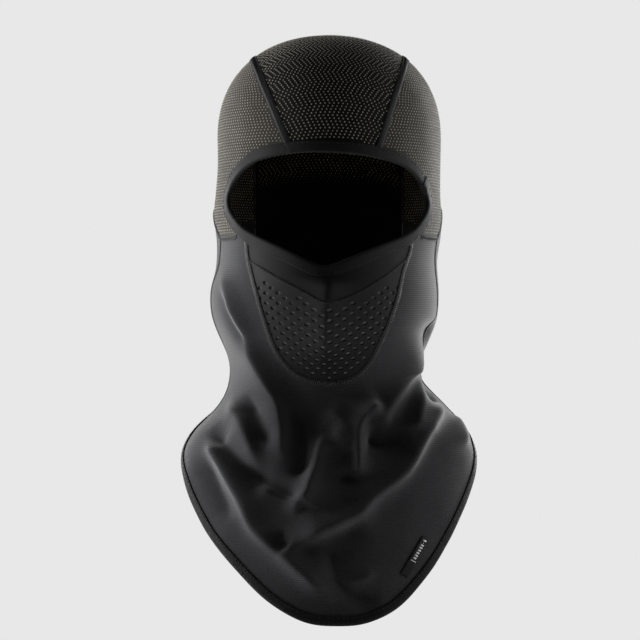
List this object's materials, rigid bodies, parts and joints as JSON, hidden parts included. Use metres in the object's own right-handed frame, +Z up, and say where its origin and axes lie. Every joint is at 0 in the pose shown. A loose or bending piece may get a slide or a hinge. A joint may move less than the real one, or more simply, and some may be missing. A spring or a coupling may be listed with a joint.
{
  "type": "balaclava",
  "caption": "Full-head knitted hood with a wide face opening, perforated mouth panel and a long bib over neck and chest.",
  "frame": {"origin": "middle of the wearer's head at the level of the temples", "axes": "+Z up along the head, -Y out of the face opening, +X towards the wearer's left"},
  "size_m": [0.2206, 0.2059, 0.4084],
  "materials": {
    "dotted_mesh": "open knit, black with small pale dots",
    "smooth_knit": "smooth black knit",
    "perforated_knit": "black knit with round holes",
    "lining_mesh": "fine grey mesh",
    "brushed_twill": "charcoal stretch fleece with a fine rib",
    "elastic_tape": "black ribbed elastic tape",
    "black_thread": "black flatlock thread",
    "grey_thread": "charcoal flatlock thread",
    "woven_label": "black woven label with a plain pale mark"
  },
  "bodies": {
    "root": {"crown_panel": "dotted_mesh", "side_panel_left": "dotted_mesh", "side_panel_right": "dotted_mesh", "nose_panel": "smooth_knit", "mouth_panel": "perforated_knit", "mouth_lining": "lining_mesh", "front_panel": "brushed_twill", "back_neck_panel": "brushed_twill", "face_binding": "elastic_tape", "hem_binding": "elastic_tape", "face_binding_stitch": "black_thread", "hem_binding_stitch": "black_thread", "crown_seam_left": "black_thread", "crown_seam_right": "black_thread", "nape_seam": "black_thread", "cheek_seam_left": "grey_thread", "cheek_seam_right": "grey_thread", "neck_seam_left": "grey_thread", "neck_seam_right": "grey_thread", "mouth_seam": "grey_thread", "nose_seam": "black_thread", "hem_label": "woven_label"}
  },
  "joints": []
}
